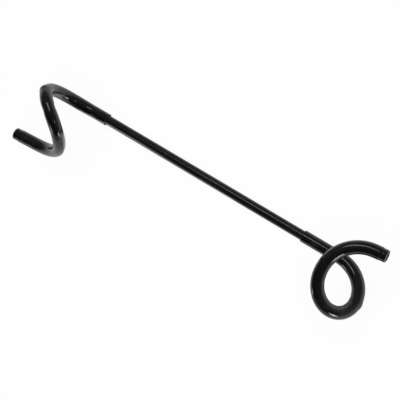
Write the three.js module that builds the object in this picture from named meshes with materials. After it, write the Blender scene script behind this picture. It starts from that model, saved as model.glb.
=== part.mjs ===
// Double pigtail rod with covered ends.
//
// One straight steel rod. Each end is coiled one turn into an open eye, like a pigtail, and leaves
// the eye as a short straight tail that crosses the shank. A plastic sleeve covers each end, from a
// little before the eye to the tip of the tail.
//
// Millimetres, +Z up. +X runs along the shank. The rod is drawn as it lies on a flat floor, with its
// shank level, and the origin is on the floor under the middle of the whole part.

import * as THREE from 'three';

// Driving dimensions, in millimetres and degrees.
const ROD_DIAMETER = 8;
const SHANK_LENGTH = 241; // straight stretch between the two eyes

// One eye. Both eyes are bent round the same former, so they share these sizes.
const EYE_RADIUS_ALONG = 27.4; // half of the eye's size along the shank
const EYE_RADIUS_ACROSS = 24.1; // half of the eye's size across the shank
const EYE_TURN = 355.4; // how far the rod turns from the shank to the tail
const COIL_DRIFT = 47.5; // sideways, from the shank to the tail, across the eye's face
const COIL_ADVANCE = 33.5; // along the shank, from the start of the eye to its end
const COIL_DROP = 9.7; // how far the tail ends up on the shank's other side from the eye
const DRIFT_EASE = 0.84; // 0 spreads the drift evenly, 1 gathers it on the eye's far side

const START_TAIL = 22.2; // straight tail at the -X end, to the sleeve's tip
const END_TAIL = 9.6; // straight tail at the +X end, to the sleeve's tip

// How the two eyes stand round the shank.
const EYE_TWIST = 90; // one eye against the other
const END_EYE_LIFT = 13.1; // the +X eye against the floor, as the rod lies

// Sleeves.
const SLEEVE_WALL = 0.8;
const SLEEVE_CLEARANCE = 0.3; // between the rod and the sleeve's bore, on the radius
const START_LEAD = 13.7; // length of the sleeve on the shank, before the eye
const END_LEAD = 33.2;
const ROD_RECESS = 0.6; // the rod's tip stands this far inside the sleeve's mouth

// Fineness of the facets.
const ROD_SIDES = 14;
const SLEEVE_SIDES = 16;
const STATION_STEP = 3.8; // between one ring of corners and the next
const LENGTH_SAMPLES = 2400; // for spacing those rings evenly

const FULL_TURN = 2 * Math.PI;

// Share of the drift that is done at a share u of the turn.
function easedShare(u) {
  return u - (DRIFT_EASE * Math.sin(FULL_TURN * u)) / FULL_TURN;
}

// Centre of the rod in the eye, at an angle from the shank. The shank arrives along +X at the
// origin, the eye opens towards +Y and the rod drifts towards -Z, which makes a left-handed coil.
function eyePoint(angle) {
  const share = easedShare(angle / THREE.MathUtils.degToRad(EYE_TURN));
  return new THREE.Vector3(
    EYE_RADIUS_ALONG * Math.sin(angle) + COIL_ADVANCE * share,
    EYE_RADIUS_ACROSS * (1 - Math.cos(angle)) - COIL_DROP * share,
    -COIL_DRIFT * share
  );
}

// Centre line of one end: lead on the shank, eye and tail, in that order.
class EndCurve extends THREE.Curve {
  constructor(lead, tail, placement) {
    super();
    this.arcLengthDivisions = LENGTH_SAMPLES;
    this.lead = lead;
    this.tail = tail;
    this.placement = placement;
    this.turn = THREE.MathUtils.degToRad(EYE_TURN);
    this.eyeEnd = eyePoint(this.turn);
    this.tailDirection = this.eyeEnd.clone().sub(eyePoint(this.turn - 0.001)).normalize();
    this.nominalEye = this.turn * (EYE_RADIUS_ALONG + EYE_RADIUS_ACROSS) / 2;
    this.nominalLength = lead + this.nominalEye + tail;
  }

  getPoint(t, target = new THREE.Vector3()) {
    const along = t * this.nominalLength - this.lead;
    if (along < 0) {
      target.set(along, 0, 0);
    } else if (along < this.nominalEye) {
      target.copy(eyePoint(this.turn * along / this.nominalEye));
    } else {
      target.copy(this.eyeEnd).addScaledVector(this.tailDirection, along - this.nominalEye);
    }
    return target.applyMatrix4(this.placement);
  }
}

// Centre line of the whole rod: the start end backwards, then the other end.
class RodCurve extends THREE.Curve {
  constructor(start, end) {
    super();
    this.arcLengthDivisions = LENGTH_SAMPLES;
    this.start = start;
    this.end = end;
    this.middle = start.nominalLength / (start.nominalLength + end.nominalLength);
  }

  getPoint(t, target = new THREE.Vector3()) {
    if (t < this.middle) {
      return this.start.getPoint(1 - t / this.middle, target);
    }
    return this.end.getPoint((t - this.middle) / (1 - this.middle), target);
  }
}

// Place of the +X eye: at the end of the shank, rolled about the shank.
function endPlacement() {
  const roll = THREE.MathUtils.degToRad(180 - END_EYE_LIFT);
  return new THREE.Matrix4()
    .makeTranslation(SHANK_LENGTH / 2, 0, 0)
    .multiply(new THREE.Matrix4().makeRotationX(roll));
}

// Place of the -X eye: the same coil facing the other way, with the twist between the eyes.
function startPlacement() {
  const roll = THREE.MathUtils.degToRad(180 - END_EYE_LIFT + EYE_TWIST);
  return new THREE.Matrix4()
    .makeTranslation(-SHANK_LENGTH / 2, 0, 0)
    .multiply(new THREE.Matrix4().makeRotationX(roll))
    .multiply(new THREE.Matrix4().makeRotationZ(Math.PI));
}

// A regular outline that lies inside the circle, or round it.
function polygon(radius, sides, Kind, outside = false) {
  const corner = outside ? radius / Math.cos(Math.PI / sides) : radius;
  const points = [];
  for (let i = 0; i < sides; i += 1) {
    const angle = FULL_TURN * i / sides;
    points.push(new THREE.Vector2(corner * Math.cos(angle), corner * Math.sin(angle)));
  }
  return new Kind(points);
}

// A solid of one section all along a curve.
function sweep(section, curve) {
  const steps = Math.round(curve.getLength() / STATION_STEP);
  return new THREE.ExtrudeGeometry(section, { steps, extrudePath: curve });
}

// The steel rod, in black paint.
function makeRod() {
  const half = SHANK_LENGTH / 2;
  const start = new EndCurve(half, START_TAIL - ROD_RECESS, startPlacement());
  const end = new EndCurve(half, END_TAIL - ROD_RECESS, endPlacement());
  const section = polygon(ROD_DIAMETER / 2, ROD_SIDES, THREE.Shape);
  const paint = new THREE.MeshStandardMaterial({ color: '#0b0b0d', roughness: 0.22, metalness: 0 });
  const rod = new THREE.Mesh(sweep(section, new RodCurve(start, end)), paint);
  rod.name = 'bent_rod';
  return rod;
}

// One sleeve: a soft plastic tube over the rod's end.
function makeSleeve(name, curve) {
  const bore = ROD_DIAMETER / 2 + SLEEVE_CLEARANCE;
  const section = polygon(bore + SLEEVE_WALL, SLEEVE_SIDES, THREE.Shape, true);
  section.holes.push(polygon(bore, SLEEVE_SIDES, THREE.Path, true));
  const plastic = new THREE.MeshStandardMaterial({ color: '#08080a', roughness: 0.18, metalness: 0 });
  const sleeve = new THREE.Mesh(sweep(section, curve), plastic);
  sleeve.name = name;
  return sleeve;
}

// Sets the finished part on the floor, with the origin under the middle of its box.
function settle(model) {
  const box = new THREE.Box3().setFromObject(model, true);
  const middle = box.getCenter(new THREE.Vector3());
  model.position.set(-middle.x, -middle.y, -box.min.z);
}

const group = new THREE.Group();
group.add(
  makeRod(),
  makeSleeve('start_sleeve', new EndCurve(START_LEAD, START_TAIL, startPlacement())),
  makeSleeve('end_sleeve', new EndCurve(END_LEAD, END_TAIL, endPlacement()))
);
settle(group);

export default group;
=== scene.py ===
"""Looks of a double pigtail rod with covered ends: smooth meshes, finishes, light and camera.

The object is one straight steel rod with a one-turn open eye and a short tail at each end, and a soft
plastic sleeve over each eye. Sizes in the classes are in millimetres and degrees, and the meshes are
made in metres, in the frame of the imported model: +X along the shank, +Z up from the floor it lies on.
"""

from __future__ import annotations

import logging
import math
from dataclasses import dataclass, field
from enum import Enum
from typing import Any, Callable

import bpy
from mathutils import Matrix, Vector


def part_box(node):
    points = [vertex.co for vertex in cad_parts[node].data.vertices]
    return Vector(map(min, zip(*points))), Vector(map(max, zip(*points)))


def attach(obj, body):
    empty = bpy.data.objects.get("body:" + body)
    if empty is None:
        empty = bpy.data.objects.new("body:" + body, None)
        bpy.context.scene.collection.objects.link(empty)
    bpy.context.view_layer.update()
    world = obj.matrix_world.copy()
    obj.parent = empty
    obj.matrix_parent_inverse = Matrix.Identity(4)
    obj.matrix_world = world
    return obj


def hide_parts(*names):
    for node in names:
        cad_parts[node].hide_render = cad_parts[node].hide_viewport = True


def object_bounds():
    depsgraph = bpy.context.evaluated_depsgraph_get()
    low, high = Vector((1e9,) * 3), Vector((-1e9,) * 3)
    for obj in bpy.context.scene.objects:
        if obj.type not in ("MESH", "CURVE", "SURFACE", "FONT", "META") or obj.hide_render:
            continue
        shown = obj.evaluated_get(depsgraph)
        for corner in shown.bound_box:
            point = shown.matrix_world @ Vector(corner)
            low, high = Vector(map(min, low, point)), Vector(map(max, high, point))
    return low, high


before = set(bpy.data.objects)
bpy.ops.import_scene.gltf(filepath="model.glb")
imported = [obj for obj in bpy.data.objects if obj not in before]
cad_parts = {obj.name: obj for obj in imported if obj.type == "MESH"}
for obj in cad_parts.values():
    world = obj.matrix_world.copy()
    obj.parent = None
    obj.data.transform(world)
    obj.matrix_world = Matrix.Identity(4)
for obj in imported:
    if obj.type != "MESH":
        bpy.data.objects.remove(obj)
CAD_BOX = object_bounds()

LOG = logging.getLogger("pigtail_rod")
MM = 0.001  # metres in a millimetre
FULL_TURN = 2.0 * math.pi
BODY = "root"
NEARLY_NOTHING = 1e-9  # millimetres, a length that is safe to divide by
NEARLY_STRAIGHT = 1e-3  # share of the tightest bend below which a tube counts as straight


class RodEnd(Enum):
    """Which end of the rod a thing belongs to. The value is its sign along X."""

    START = -1
    END = 1


# ---------------------------------------------------------------------------
# Colour and nodes
# ---------------------------------------------------------------------------


def linear(hex_colour: str) -> tuple[float, float, float, float]:
    """Turns an sRGB hex colour into the linear colour that a shader takes.

    Args:
        hex_colour: Six hex digits after a hash, such as "#0c0c0e".

    Returns:
        Red, green, blue and an alpha of one.
    """
    channels = [int(hex_colour[i : i + 2], 16) / 255.0 for i in (1, 3, 5)]
    toe, slope = 0.04045, 12.92
    lift, gamma = 0.055, 2.4
    values = [c / slope if c <= toe else ((c + lift) / (1.0 + lift)) ** gamma for c in channels]
    return (values[0], values[1], values[2], 1.0)


def add_node(
    tree: bpy.types.NodeTree,
    kind: str,
    inputs: dict[str | int, Any] | None = None,
    **settings: Any,
) -> bpy.types.Node:
    """Adds one node, sets it up and links what feeds it.

    Args:
        tree: The node tree to add to.
        kind: The node's type name.
        inputs: Socket name or number, to a value or to the output socket that feeds it.
        **settings: The node's own properties, such as operation or blend_type.

    Returns:
        The new node.
    """
    node = tree.nodes.new(kind)
    for name, value in settings.items():
        setattr(node, name, value)
    for socket, value in (inputs or {}).items():
        if isinstance(value, bpy.types.NodeSocket):
            tree.links.new(value, node.inputs[socket])
        else:
            node.inputs[socket].default_value = value
    return node


def per_metre(size_mm: float) -> float:
    """Gives the noise scale whose features are about size_mm across, for coordinates in metres."""
    return 1.0 / (size_mm * MM)


# ---------------------------------------------------------------------------
# Finishes
# ---------------------------------------------------------------------------


@dataclass(frozen=True)
class GlossEnamelOnSteel:
    """Black stoving enamel on cold-drawn round steel, flowed on and baked.

    The film is smooth and wet-looking, and it has a faint orange peel and a few dust nibs, so the
    long reflections along the rod stay sharp but tremble a little.
    """

    name: str = "gloss_black_enamel_on_steel"
    slot: str = "black_paint"
    colour: str = "#0a0a0c"
    thin_colour: str = "#121215"
    ior: float = 1.5
    roughness: float = 0.17
    rough_patch: float = 0.22
    patch_edge: tuple[float, float] = (0.42, 0.72)
    peel_mm: float = 1.8
    peel_height_mm: float = 0.004
    flow_mm: float = 14.0
    flow_height_mm: float = 0.008
    nib_mm: float = 0.7
    nib_height_mm: float = 0.01
    nib_edge: tuple[float, float] = (0.74, 0.8)

    def make(self) -> bpy.types.Material:
        """Builds the enamel.

        Returns:
            The material.
        """
        material, tree, shader = new_surface(self.name)
        where = add_node(tree, "ShaderNodeTexCoord").outputs["Object"]
        shader.inputs["IOR"].default_value = self.ior
        patches = noise(tree, where, self.flow_mm, detail=3.0)
        blend = ramp(tree, patches, *self.patch_edge)
        colour = add_node(
            tree,
            "ShaderNodeMix",
            {"Factor": blend, "A": linear(self.colour), "B": linear(self.thin_colour)},
            data_type="RGBA",
        )
        tree.links.new(colour.outputs["Result"], shader.inputs["Base Color"])
        rough = add_node(
            tree,
            "ShaderNodeMapRange",
            {"Value": blend, "To Min": self.roughness, "To Max": self.rough_patch},
        )
        tree.links.new(rough.outputs["Result"], shader.inputs["Roughness"])
        flow = bump(tree, patches, self.flow_height_mm)
        peel = bump(tree, noise(tree, where, self.peel_mm), self.peel_height_mm, flow)
        nibs = ramp(tree, noise(tree, where, self.nib_mm), *self.nib_edge)
        tree.links.new(bump(tree, nibs, self.nib_height_mm, peel), shader.inputs["Normal"])
        return material


@dataclass(frozen=True)
class SoftVinylTube:
    """Extruded soft PVC tube, black, pushed on warm.

    It is glossy and slightly waxy. The die leaves hair-fine lines along the tube, and the wall that
    was bent round the eye has gentle waves, which break the reflections into short streaks.
    """

    name: str = "gloss_black_vinyl_tube"
    slot: str = "black_plastic"
    colour: str = "#08080a"
    worn_colour: str = "#151518"
    ior: float = 1.53
    roughness: float = 0.1
    scuffed: float = 0.17
    die_line_mm: float = 0.55
    die_line_length_mm: float = 60.0
    die_line_height_mm: float = 0.003
    wave_mm: float = 9.0
    wave_height_mm: float = 0.025
    scuff_mm: float = 9.0
    scuff_edge: tuple[float, float] = (0.5, 0.74)

    def make(self) -> bpy.types.Material:
        """Builds the vinyl.

        Returns:
            The material.
        """
        material, tree, shader = new_surface(self.name)
        where = add_node(tree, "ShaderNodeTexCoord").outputs["Object"]
        along = add_node(
            tree, "ShaderNodeAttribute", attribute_name=TUBE_COORDINATES
        ).outputs["Vector"]
        shader.inputs["IOR"].default_value = self.ior
        scuffs = ramp(tree, noise(tree, where, self.scuff_mm, detail=5.0), *self.scuff_edge)
        colour = add_node(
            tree,
            "ShaderNodeMix",
            {"Factor": scuffs, "A": linear(self.colour), "B": linear(self.worn_colour)},
            data_type="RGBA",
        )
        tree.links.new(colour.outputs["Result"], shader.inputs["Base Color"])
        rough = add_node(
            tree,
            "ShaderNodeMapRange",
            {"Value": scuffs, "To Min": self.roughness, "To Max": self.scuffed},
        )
        tree.links.new(rough.outputs["Result"], shader.inputs["Roughness"])
        squeeze = self.die_line_mm / self.die_line_length_mm
        stretched = add_node(
            tree,
            "ShaderNodeVectorMath",
            {0: along, 1: (squeeze, 1.0, 1.0)},
            operation="MULTIPLY",
        )
        lines = noise(tree, stretched.outputs["Vector"], self.die_line_mm, detail=1.0)
        waves = bump(tree, noise(tree, where, self.wave_mm, detail=1.0), self.wave_height_mm)
        drawn = bump(tree, lines, self.die_line_height_mm, waves)
        tree.links.new(drawn, shader.inputs["Normal"])
        return material


@dataclass(frozen=True)
class SawnTip:
    """The square-cut tip: enamel and plastic roughened by the cut, dull and a little lighter, with
    painted highlights, pale grey spots in the colour that stand for glints off the rough cut.
    """

    name: str = "sawn_black_tip"
    colour: str = "#0d0d0f"
    # pale grey of the painted highlights: glints painted as spots on the cut face
    painted_glint_colour: str = "#5c5c60"
    ior: float = 1.5
    roughness: float = 0.36
    grit_mm: float = 0.8
    grit_height_mm: float = 0.12
    # where the painted highlight spots begin and where they are full
    glint_spot_edge: tuple[float, float] = (0.56, 0.7)

    def make(self) -> bpy.types.Material:
        """Builds the cut face.

        Returns:
            The material.
        """
        material, tree, shader = new_surface(self.name)
        where = add_node(tree, "ShaderNodeTexCoord").outputs["Object"]
        shader.inputs["IOR"].default_value = self.ior
        shader.inputs["Roughness"].default_value = self.roughness
        grit = noise(tree, where, self.grit_mm, detail=4.0)
        # Painted highlights: noise spots where the pale grey is painted into the colour, standing for
        # glints off the rough cut.
        painted_glints = ramp(tree, grit, *self.glint_spot_edge)
        colour = add_node(
            tree,
            "ShaderNodeMix",
            {"Factor": painted_glints, "A": linear(self.colour), "B": linear(self.painted_glint_colour)},
            data_type="RGBA",
        )
        tree.links.new(colour.outputs["Result"], shader.inputs["Base Color"])
        tree.links.new(bump(tree, grit, self.grit_height_mm), shader.inputs["Normal"])
        return material


@dataclass(frozen=True)
class WhiteSweep:
    """Seamless white studio paper. It reads as plain white, and it keeps a faint contact shadow.

    Reflections and clear parts show it white too, mostly as the lamps light it, so the object's
    shadow shows more strongly there.
    """

    name: str = "white_studio_paper"
    colour: str = "#f4f4f4"
    roughness: float = 0.9
    camera_white: float = 0.93
    mirrored_white: float = 0.2

    def make(self) -> bpy.types.Material:
        """Builds the paper.

        Returns:
            The material.
        """
        material, tree, shader = new_surface(self.name)
        shader.inputs["Base Color"].default_value = linear(self.colour)
        shader.inputs["Roughness"].default_value = self.roughness
        output = next(n for n in tree.nodes if n.type == "OUTPUT_MATERIAL")
        rays = add_node(tree, "ShaderNodeLightPath")
        bounced = add_node(
            tree,
            "ShaderNodeMath",
            {0: rays.outputs["Is Glossy Ray"], 1: rays.outputs["Is Transmission Ray"]},
            operation="MAXIMUM",
        )
        mirrored = add_node(
            tree,
            "ShaderNodeMath",
            {0: bounced.outputs[0], 1: self.mirrored_white},
            operation="MULTIPLY",
        )
        seen = add_node(
            tree,
            "ShaderNodeMath",
            {0: rays.outputs["Is Camera Ray"], 1: self.camera_white, 2: mirrored.outputs[0]},
            operation="MULTIPLY_ADD",
        )
        white = add_node(tree, "ShaderNodeEmission", {"Strength": 1.0})
        mixed = add_node(
            tree,
            "ShaderNodeMixShader",
            {0: seen.outputs[0], 1: shader.outputs[0], 2: white.outputs[0]},
        )
        tree.links.new(mixed.outputs[0], output.inputs["Surface"])
        return material


def new_surface(name: str) -> tuple[bpy.types.Material, bpy.types.NodeTree, bpy.types.Node]:
    """Makes an empty material with a principled shader wired to its output.

    Args:
        name: The material's name.

    Returns:
        The material, its node tree and its shader.
    """
    material = bpy.data.materials.new(name)
    material.use_nodes = True
    tree = material.node_tree
    tree.nodes.clear()
    shader = add_node(tree, "ShaderNodeBsdfPrincipled")
    add_node(tree, "ShaderNodeOutputMaterial", {"Surface": shader.outputs["BSDF"]})
    return material, tree, shader


def noise(
    tree: bpy.types.NodeTree, where: bpy.types.NodeSocket, size_mm: float, detail: float = 2.0
) -> bpy.types.NodeSocket:
    """Adds a cloudy pattern of a real size.

    Args:
        tree: The node tree.
        where: Coordinates in metres.
        size_mm: Size of one feature.
        detail: How many finer layers it has.

    Returns:
        The pattern, from zero to one.
    """
    made = add_node(
        tree,
        "ShaderNodeTexNoise",
        {"Vector": where, "Scale": per_metre(size_mm), "Detail": detail},
    )
    return made.outputs["Fac"]


def ramp(
    tree: bpy.types.NodeTree, value: bpy.types.NodeSocket, low: float, high: float
) -> bpy.types.NodeSocket:
    """Adds a smooth step from low to high.

    Args:
        tree: The node tree.
        value: What is stepped.
        low: Where the step starts.
        high: Where it is complete.

    Returns:
        The stepped value, from zero to one.
    """
    made = add_node(
        tree,
        "ShaderNodeMapRange",
        {"Value": value, "From Min": low, "From Max": high},
        interpolation_type="SMOOTHSTEP",
    )
    return made.outputs["Result"]


def bump(
    tree: bpy.types.NodeTree,
    height: bpy.types.NodeSocket,
    height_mm: float,
    under: bpy.types.NodeSocket | None = None,
) -> bpy.types.NodeSocket:
    """Adds a bump of a real height, on top of another if one is given.

    Args:
        tree: The node tree.
        height: The pattern, from zero to one.
        height_mm: The pattern's full height.
        under: The normal that it is laid on.

    Returns:
        The bumped normal.
    """
    feeds: dict[str | int, Any] = {"Height": height, "Distance": height_mm * MM, "Strength": 1.0}
    if under is not None:
        feeds["Normal"] = under
    return add_node(tree, "ShaderNodeBump", feeds).outputs["Normal"]


# ---------------------------------------------------------------------------
# Centre lines
# ---------------------------------------------------------------------------

TUBE_COORDINATES = "tube_coordinates"  # along and round a tube, in metres


@dataclass(frozen=True)
class Coil:
    """One pigtail eye, bent on a former. The shank arrives along +X at the origin.

    The eye opens towards +Y and the rod drifts towards -Z as it goes round, which makes the coil
    left-handed.
    """

    radius_along: float = 27.4
    radius_across: float = 24.1
    turn: float = 355.4
    drift: float = 47.5
    advance: float = 33.5
    drop: float = 9.7
    drift_ease: float = 0.84

    def point(self, share: float) -> Vector:
        """Finds the rod's centre at a share of the turn.

        Args:
            share: From zero at the shank to one at the tail.

        Returns:
            The point, in millimetres.
        """
        angle = math.radians(self.turn) * share
        eased = share - self.drift_ease * math.sin(FULL_TURN * share) / FULL_TURN
        return Vector(
            (
                self.radius_along * math.sin(angle) + self.advance * eased,
                self.radius_across * (1.0 - math.cos(angle)) - self.drop * eased,
                -self.drift * eased,
            )
        )

    def tail_direction(self) -> Vector:
        """Gives the direction in which the rod leaves the eye."""
        just_before = self.point(1.0 - 1e-5)
        return (self.point(1.0) - just_before).normalized()


@dataclass(frozen=True)
class Layout:
    """Where the two eyes stand on the shank, and how long each tail is."""

    shank: float = 241.0
    start_tail: float = 22.2
    end_tail: float = 9.6
    twist: float = 90.0
    end_eye_lift: float = 13.1
    coil: Coil = field(default_factory=Coil)
    points_per_eye: int = 600

    def place(self, end: RodEnd) -> Matrix:
        """Gives the place of an eye, with the middle of the shank at the origin.

        Args:
            end: The rod's end.

        Returns:
            The eye's matrix, in millimetres.
        """
        roll = math.radians(180.0 - self.end_eye_lift)
        spot = Matrix.Translation((end.value * self.shank / 2.0, 0.0, 0.0))
        if end is RodEnd.END:
            return spot @ Matrix.Rotation(roll, 4, "X")
        turned = Matrix.Rotation(roll + math.radians(self.twist), 4, "X")
        return spot @ turned @ Matrix.Rotation(math.pi, 4, "Z")

    def run(self, end: RodEnd, lead: float, recess: float = 0.0) -> list[Vector]:
        """Lists close points along one end: lead on the shank, eye and tail.

        Args:
            end: The rod's end.
            lead: Length on the shank before the eye.
            recess: How much shorter than the full tail the run is.

        Returns:
            The points, in millimetres.
        """
        tail = (self.start_tail if end is RodEnd.START else self.end_tail) - recess
        points = [Vector((-lead, 0.0, 0.0))]
        points += [self.coil.point(i / self.points_per_eye) for i in range(self.points_per_eye + 1)]
        points.append(points[-1] + tail * self.coil.tail_direction())
        place = self.place(end)
        return [place @ p for p in points]

    def whole(self, recess: float) -> list[Vector]:
        """Lists close points along the whole rod, from the start's tip to the end's tip.

        Args:
            recess: How much shorter each tail is than its full length.

        Returns:
            The points, in millimetres, with the middle of the shank at the origin.
        """
        half = self.shank / 2.0
        first = self.run(RodEnd.START, half, recess)
        second = self.run(RodEnd.END, half, recess)
        return first[::-1] + second[1:]


@dataclass
class Station:
    """One place along a centre line: its point, its frame, its length so far and how it bends.

    The inward vector points to the inside of the bend. Its length is one over the bend's radius.
    """

    point: Vector
    tangent: Vector
    side: Vector
    along: float
    inward: Vector

    @property
    def other(self) -> Vector:
        """Gives the direction square to both the tangent and the side."""
        return self.tangent.cross(self.side)


def stations(points: list[Vector], step: float) -> list[Station]:
    """Spaces stations evenly along a line and carries a frame along it without twist.

    Args:
        points: Close points along the line, in millimetres.
        step: Distance between stations.

    Returns:
        The stations, first and last on the line's ends.
    """
    lengths = [0.0]
    for before, after in zip(points, points[1:]):
        lengths.append(lengths[-1] + (after - before).length)
    count = max(2, round(lengths[-1] / step))
    spots, k = [], 0
    for i in range(count + 1):
        goal = lengths[-1] * i / count
        while k < len(points) - 2 and lengths[k + 1] < goal:
            k += 1
        share = (goal - lengths[k]) / max(lengths[k + 1] - lengths[k], NEARLY_NOTHING)
        spots.append((points[k].lerp(points[k + 1], share), goal))
    return carry_frames(spots)


def carry_frames(spots: list[tuple[Vector, float]]) -> list[Station]:
    """Builds a station at each spot, each frame turned from the one before by the least rotation.

    Args:
        spots: Evenly spaced points, each with its length along the line.

    Returns:
        The stations.
    """
    last = len(spots) - 1
    spacing = spots[1][1]
    made: list[Station] = []
    side = Vector((0.0, 0.0, 1.0))
    for i, (point, along) in enumerate(spots):
        before, after = spots[max(i - 1, 0)][0], spots[min(i + 1, last)][0]
        tangent = (after - before).normalized()
        side = (side - tangent * side.dot(tangent)).normalized()
        change = (after - point).normalized() - (point - before).normalized()
        inward = Vector() if i in (0, last) else change / spacing
        made.append(Station(point, tangent, side.copy(), along, inward))
    return made


# ---------------------------------------------------------------------------
# Meshes
# ---------------------------------------------------------------------------

Profile = Callable[[Station, float], float]


@dataclass
class Tube:
    """A swept skin that is being built: rings of vertices and the faces between them."""

    name: str
    sides: int
    offset: Vector
    vertices: list[Vector] = field(default_factory=list)
    coordinates: list[Vector] = field(default_factory=list)
    faces: list[tuple[int, ...]] = field(default_factory=list)
    slots: list[int] = field(default_factory=list)
    rings: int = 0

    def ring(self, station: Station, radius: Profile, shift: float = 0.0) -> None:
        """Adds one ring of vertices.

        Args:
            station: Where the ring stands.
            radius: Its radius at each direction, in millimetres.
            shift: How far along the tangent the ring is moved.
        """
        for i in range(self.sides):
            angle = FULL_TURN * i / self.sides
            spoke = math.cos(angle) * station.side + math.sin(angle) * station.other
            reach = radius(station, angle)
            point = station.point + shift * station.tangent + reach * spoke + self.offset
            self.vertices.append(point * MM)
            around = Vector((station.along + shift, reach * math.cos(angle), reach * math.sin(angle)))
            self.coordinates.append(around * MM)
        self.rings += 1

    def join(self, first: int, second: int, slot: int = 0) -> None:
        """Joins two rings with a band of four-sided faces.

        Args:
            first: Number of one ring.
            second: Number of the other ring.
            slot: The material's number.
        """
        for i in range(self.sides):
            j = (i + 1) % self.sides
            a, b = first * self.sides, second * self.sides
            self.faces.append((a + i, a + j, b + j, b + i))
            self.slots.append(slot)

    def cap(self, ring: int, backwards: bool, slot: int) -> None:
        """Closes a ring with one flat face.

        Args:
            ring: The ring's number.
            backwards: Whether the face looks back along the tube.
            slot: The material's number.
        """
        order = [ring * self.sides + i for i in range(self.sides)]
        self.faces.append(tuple(order[::-1] if backwards else order))
        self.slots.append(slot)

    def finish(self, materials: list[bpy.types.Material]) -> bpy.types.Object:
        """Turns what was built into an object.

        Args:
            materials: One material for each slot number used.

        Returns:
            The new object, linked to the scene.
        """
        mesh = bpy.data.meshes.new(self.name)
        mesh.from_pydata([tuple(v) for v in self.vertices], [], self.faces)
        for material in materials:
            mesh.materials.append(material)
        mesh.polygons.foreach_set("material_index", self.slots)
        mesh.polygons.foreach_set("use_smooth", [len(f) == 4 for f in self.faces])
        layer = mesh.attributes.new(TUBE_COORDINATES, "FLOAT_VECTOR", "POINT")
        layer.data.foreach_set("vector", [x for v in self.coordinates for x in v])
        mesh.validate()
        made = bpy.data.objects.new(self.name, mesh)
        bpy.context.scene.collection.objects.link(made)
        return made


def ride_and_replace(piece: bpy.types.Object, node: str) -> None:
    """Fixes a piece to the body and lets it stand for a CAD node.

    Args:
        piece: The visible piece.
        node: The CAD node that it replaces.
    """
    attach(piece, BODY)
    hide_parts(node)


# ---------------------------------------------------------------------------
# Sub-assemblies
# ---------------------------------------------------------------------------


@dataclass
class BentRod:
    """The steel rod, in one piece from tip to tip, with its film of paint."""

    layout: Layout
    offset: Vector
    node: str = "bent_rod"
    name: str = "enamelled_rod"
    diameter: float = 8.0
    film: float = 0.08
    recess: float = 0.6
    tip_chamfer: float = 0.5
    step: float = 1.0
    sides: int = 40

    def build(self, enamel: bpy.types.Material, sawn: bpy.types.Material) -> bpy.types.Object:
        """Builds the rod's mesh with a small chamfer round each tip.

        Args:
            enamel: The finish along the rod.
            sawn: The finish of the two cut faces.

        Returns:
            The rod.
        """
        line = stations(self.layout.whole(self.recess), self.step)
        tube = Tube(self.name, self.sides, self.offset)
        full = self.diameter / 2.0 + self.film
        small = full - self.tip_chamfer
        tube.ring(line[0], lambda s, a: small)
        tube.ring(line[0], lambda s, a: full, self.tip_chamfer)
        for station in line[1:-1]:
            tube.ring(station, lambda s, a: full)
        tube.ring(line[-1], lambda s, a: full, -self.tip_chamfer)
        tube.ring(line[-1], lambda s, a: small)
        for k in range(tube.rings - 1):
            tube.join(k, k + 1)
        tube.cap(0, backwards=True, slot=1)
        tube.cap(tube.rings - 1, backwards=False, slot=1)
        return tube.finish([enamel, sawn])

    def dress(self, piece: bpy.types.Object, finish: GlossEnamelOnSteel) -> None:
        """Ties the rod to its CAD node."""
        ride_and_replace(piece, self.node)


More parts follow.
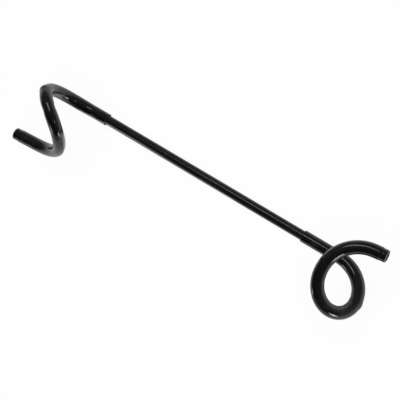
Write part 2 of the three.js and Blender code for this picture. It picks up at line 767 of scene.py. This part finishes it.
@dataclass
class Sleeve:
    """A soft plastic tube over one end of the rod, from before the eye to the tail's tip.

    The lead is its length on the shank. The fold is on the outside of the eye, at a length from the
    tube's mouth.
    """

    layout: Layout
    offset: Vector
    end: RodEnd
    lead: float
    node: str
    name: str
    fold_at: float
    fold_height: float
    outer: float = 5.1
    bore: float = 4.15
    mouth_rim: float = 0.4
    tip_rim: float = 0.55
    rim_steps: int = 5
    bulge: float = 0.3
    bulge_ease: float = 14.0
    box_margin: float = 0.1
    fold_length: float = 2.6
    inner_swell: float = 0.12
    tightest_bend: float = 0.042
    ripple: float = 0.035
    ripple_length: float = 8.5
    step: float = 0.9
    sides: int = 48

    def wall(self, station: Station, angle: float) -> float:
        """Gives the outer radius of the bent tube.

        Past the lead the wall is a little fuller all round, but never so full that it leaves the CAD
        model's box. It swells and ripples on the inside of the bend, and has one fold on the outside.

        Args:
            station: The place along the tube.
            angle: The direction round it.

        Returns:
            The radius, in millimetres.
        """
        spoke = math.cos(angle) * station.side + math.sin(angle) * station.other
        centre = (station.point + self.offset) * MM
        gaps = [min(c - low, high - c) for c, low, high in zip(centre, *CAD_BOX)]
        spare = max(0.0, min(gaps) / MM - self.outer - self.box_margin)
        eased = min(max((station.along - self.lead) / self.bulge_ease, 0.0), 1.0)
        radius = self.outer + eased * min(self.bulge, spare)
        bend = min(station.inward.length / self.tightest_bend, 1.0)
        if bend < NEARLY_STRAIGHT:
            return radius
        inside = spoke.dot(station.inward.normalized())
        if inside > 0.0:
            wave = math.sin(FULL_TURN * station.along / self.ripple_length)
            return radius + bend * inside**2 * (self.inner_swell + self.ripple * wave)
        away = (station.along - self.fold_at) / self.fold_length
        return radius + self.fold_height * inside**2 * math.exp(-away * away)

    def build(self, vinyl: bpy.types.Material, sawn: bpy.types.Material) -> bpy.types.Object:
        """Builds the sleeve's mesh: outer wall, rounded rims, cut faces and bore.

        Args:
            vinyl: The finish of the tube.
            sawn: The finish of the cut faces.

        Returns:
            The sleeve.
        """
        line = stations(self.layout.run(self.end, self.lead), self.step)
        tube = Tube(self.name, self.sides, self.offset)
        self.add_rim(tube, line[0], 1.0, self.mouth_rim)
        last = line[-1].along - self.tip_rim - self.step / 2.0
        for station in line:
            if self.mouth_rim + self.step / 2.0 < station.along < last:
                tube.ring(station, self.wall)
        self.add_rim(tube, line[-1], -1.0, self.tip_rim)
        outer_rings = tube.rings
        for station in reversed(line):
            tube.ring(station, lambda s, a: self.bore)
        for k in range(tube.rings - 1):
            tube.join(k, k + 1, slot=1 if k == outer_rings - 1 else 0)
        tube.join(tube.rings - 1, 0, slot=1)
        return tube.finish([vinyl, sawn])

    def add_rim(self, tube: Tube, station: Station, inward: float, rim: float) -> None:
        """Adds the rings that round the outer edge of one cut face.

        Args:
            tube: The skin being built.
            station: The cut face's place.
            inward: One where the tube runs on along the tangent, minus one where it ends.
            rim: Radius of the rounded edge.
        """
        order = range(self.rim_steps + 1)
        for i in order if inward > 0 else reversed(order):
            turn = FULL_TURN / 4.0 * i / self.rim_steps
            radius = self.outer - rim * (1.0 - math.sin(turn))
            depth = rim * (1.0 - math.cos(turn))
            tube.ring(station, lambda s, a, r=radius: r, inward * depth)

    def dress(self, piece: bpy.types.Object, finish: SoftVinylTube) -> None:
        """Ties the sleeve to its CAD node."""
        ride_and_replace(piece, self.node)


# ---------------------------------------------------------------------------
# Studio
# ---------------------------------------------------------------------------


@dataclass(frozen=True)
class Lamp:
    """One rectangular soft lamp, aimed at a point. Lengths in millimetres."""

    name: str
    place: tuple[float, float, float]
    aim: tuple[float, float, float]
    width: float
    height: float
    radiance: float
    colour: str = "#ffffff"
    in_gloss: bool = True

    def build(self) -> bpy.types.Object:
        """Makes the lamp. Its power follows from its area and the radiance it shows.

        Returns:
            The lamp.
        """
        light = bpy.data.lights.new(self.name, "AREA")
        light.shape = "RECTANGLE"
        light.size = self.width * MM
        light.size_y = self.height * MM
        light.energy = self.radiance * math.pi * light.size * light.size_y
        light.color = linear(self.colour)[:3]
        lamp = bpy.data.objects.new(self.name, light)
        back = (Vector(self.place) - Vector(self.aim)).normalized()
        lamp.matrix_world = facing(Vector(self.place) * MM, back, Vector((1.0, 0.0, 0.0)))
        lamp.visible_camera = False
        lamp.visible_glossy = self.in_gloss
        bpy.context.scene.collection.objects.link(lamp)
        return lamp


def facing(place: Vector, back: Vector, along: Vector) -> Matrix:
    """Builds the matrix of a lamp or camera.

    Args:
        place: Where it stands.
        back: The direction opposite to where it looks, of unit length.
        along: The direction that its X axis is near.

    Returns:
        The matrix.
    """
    x_axis = (along - back * along.dot(back)).normalized()
    y_axis = back.cross(x_axis)
    turn = Matrix((x_axis, y_axis, back)).transposed()
    return Matrix.Translation(place) @ turn.to_4x4()


@dataclass
class Studio:
    """The floor, the light and the camera. Lengths in millimetres, angles in degrees.

    The paper's profile is a list of radius and height, from the edge of the flat part outwards. The
    room is dark and light at the two values of the direction's Y from which and to which it shades.
    """

    offset: Vector
    paper_profile: tuple[tuple[float, float], ...] = (
        (3600.0, 0.0),
        (4050.0, 60.0),
        (4340.0, 240.0),
        (4500.0, 560.0),
        (4540.0, 1000.0),
    )
    paper_sides: int = 64
    room_dark: float = 0.04
    room_light: float = 0.2
    room_tint: str = "#fbf8ff"
    shade_from: float = -0.8
    shade_to: float = 0.7
    lens: float = 128.6
    sensor_width: float = 36.0
    distance: float = 1166.4
    azimuth: float = 101.8
    elevation: float = 72.6
    roll: float = -71.4
    aim_from_shank: tuple[float, float, float] = (-2.37, -17.82, -0.72)

    def add_floor(self) -> bpy.types.Object:
        """Lays the white paper that the rod lies on, curved up all round to a low wall.

        Returns:
            The floor.
        """
        mesh = bpy.data.meshes.new("studio_floor")
        points = [(0.0, 0.0, 0.0)]
        for radius, height in self.paper_profile:
            for side in range(self.paper_sides):
                turn = FULL_TURN * side / self.paper_sides
                across = radius * MM
                points.append((across * math.cos(turn), across * math.sin(turn), height * MM))
        faces = []
        for side in range(self.paper_sides):
            after = (side + 1) % self.paper_sides
            faces.append((0, 1 + side, 1 + after))
            for ring in range(len(self.paper_profile) - 1):
                inner = 1 + ring * self.paper_sides
                outer = inner + self.paper_sides
                faces.append((inner + side, outer + side, outer + after, inner + after))
        mesh.from_pydata(points, [], faces)
        mesh.materials.append(WhiteSweep().make())
        floor = bpy.data.objects.new("studio_floor", mesh)
        bpy.context.scene.collection.objects.link(floor)
        return floor

    def add_world(self) -> None:
        """Fills the dim room above the paper with soft grey light, lighter on the +Y side."""
        world = bpy.data.worlds.new("studio_room")
        world.use_nodes = True
        bpy.context.scene.world = world
        tree = world.node_tree
        tree.nodes.clear()
        direction = add_node(tree, "ShaderNodeTexCoord").outputs["Generated"]
        across = add_node(tree, "ShaderNodeSeparateXYZ", {"Vector": direction}).outputs["Y"]
        grey = add_node(
            tree,
            "ShaderNodeMapRange",
            {
                "Value": across,
                "From Min": self.shade_from,
                "From Max": self.shade_to,
                "To Min": self.room_dark,
                "To Max": self.room_light,
            },
            interpolation_type="SMOOTHSTEP",
        )
        room = add_node(
            tree,
            "ShaderNodeBackground",
            {"Color": linear(self.room_tint), "Strength": grey.outputs["Result"]},
        )
        add_node(tree, "ShaderNodeOutputWorld", {"Surface": room.outputs[0]})

    def lamps(self) -> list[Lamp]:
        """Lists the lamps.

        A short strip stands high to the +Y side of the shank. On the -Y side a panel stands low and a
        flat pad lies on the paper. Two small lamps stand beyond the end eye. The broad overhead panel
        lights without showing in the gloss.

        Returns:
            The lamps.
        """
        return [
            Lamp(
                name="strip_over_shank",
                place=(-205, 374, 915),
                aim=(-205, 13, 5),
                width=250,
                height=110,
                radiance=6.4,
            ),
            Lamp(
                name="low_panel",
                place=(-370, -675, 120),
                aim=(-370, 0, 120),
                width=150,
                height=240,
                radiance=3.4,
            ),
            Lamp(
                name="flat_pad",
                place=(-52, -14, 1),
                aim=(-52, -14, 1000),
                width=154,
                height=34,
                radiance=1.1,
            ),
            Lamp(
                name="low_lamp_beyond_end",
                place=(560, -290, 100),
                aim=(140, 0, 25),
                width=170,
                height=140,
                radiance=9.0,
            ),
            Lamp(
                name="high_lamp_beyond_end",
                place=(632, 35, 712),
                aim=(-120, 0, 40),
                width=120,
                height=220,
                radiance=2.4,
            ),
            Lamp(
                name="overhead_fill",
                place=(0, 0, 1700),
                aim=(0, 0, 0),
                width=2600,
                height=2600,
                radiance=1.9,
                in_gloss=False,
            ),
        ]

    def add_camera(self) -> bpy.types.Object:
        """Sets the camera at its distance, direction and roll.

        Returns:
            The camera.
        """
        turn, lift, roll = (math.radians(v) for v in (self.azimuth, self.elevation, self.roll))
        back = Vector(
            (math.sin(turn) * math.cos(lift), -math.cos(turn) * math.cos(lift), math.sin(lift))
        )
        level = Vector((math.cos(turn), math.sin(turn), 0.0))
        right = math.cos(roll) * level + math.sin(roll) * back.cross(level)
        aim = self.offset + Vector(self.aim_from_shank)
        data = bpy.data.cameras.new("studio_camera")
        data.lens = self.lens
        data.sensor_width = self.sensor_width
        camera = bpy.data.objects.new("studio_camera", data)
        camera.matrix_world = facing((aim + self.distance * back) * MM, back, right)
        bpy.context.scene.collection.objects.link(camera)
        bpy.context.scene.camera = camera
        return camera


# ---------------------------------------------------------------------------
# Whole scene
# ---------------------------------------------------------------------------


def shank_place(layout: Layout, rod: BentRod) -> Vector:
    """Finds where the middle of the shank is in the frame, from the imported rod's box.

    Args:
        layout: The rod's layout.
        rod: The rod's sizes.

    Returns:
        The middle of the shank, in millimetres.
    """
    line = stations(layout.whole(rod.recess), rod.step)
    radius = rod.diameter / 2.0
    low, high = [math.inf] * 3, [-math.inf] * 3
    for station in line:
        for axis in range(3):
            reach = radius * math.sqrt(max(0.0, 1.0 - station.tangent[axis] ** 2))
            low[axis] = min(low[axis], station.point[axis] - reach)
            high[axis] = max(high[axis], station.point[axis] + reach)
    packed_low, packed_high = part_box(rod.node)
    packed = (packed_low + packed_high) / (2.0 * MM)
    return packed - (Vector(low) + Vector(high)) / 2.0


def main() -> None:
    """Builds the rod, the sleeves and the studio."""
    logging.basicConfig(level=logging.INFO, format="%(message)s")
    bpy.context.scene.view_settings.view_transform = "Standard"
    layout = Layout()
    offset = shank_place(layout, BentRod(layout, Vector()))
    enamel, vinyl, tip = GlossEnamelOnSteel(), SoftVinylTube(), SawnTip()
    enamel_skin, vinyl_skin, tip_skin = enamel.make(), vinyl.make(), tip.make()
    rod = BentRod(layout, offset)
    piece = rod.build(enamel_skin, tip_skin)
    rod.dress(piece, enamel)
    LOG.info("%s: %d faces", piece.name, len(piece.data.polygons))
    sleeves = [
        Sleeve(
            layout=layout,
            offset=offset,
            end=RodEnd.START,
            lead=13.7,
            node="start_sleeve",
            name="start_tube",
            fold_at=72.5,
            fold_height=1.0,
        ),
        Sleeve(
            layout=layout,
            offset=offset,
            end=RodEnd.END,
            lead=33.2,
            node="end_sleeve",
            name="end_tube",
            fold_at=78.7,
            fold_height=0.6,
        ),
    ]
    for sleeve in sleeves:
        piece = sleeve.build(vinyl_skin, tip_skin)
        sleeve.dress(piece, vinyl)
        LOG.info("%s: %d faces", piece.name, len(piece.data.polygons))
    studio = Studio(offset)
    studio.add_floor()
    studio.add_world()
    for lamp in studio.lamps():
        lamp.build()
    studio.add_camera()


if __name__ == "__main__":
    main()
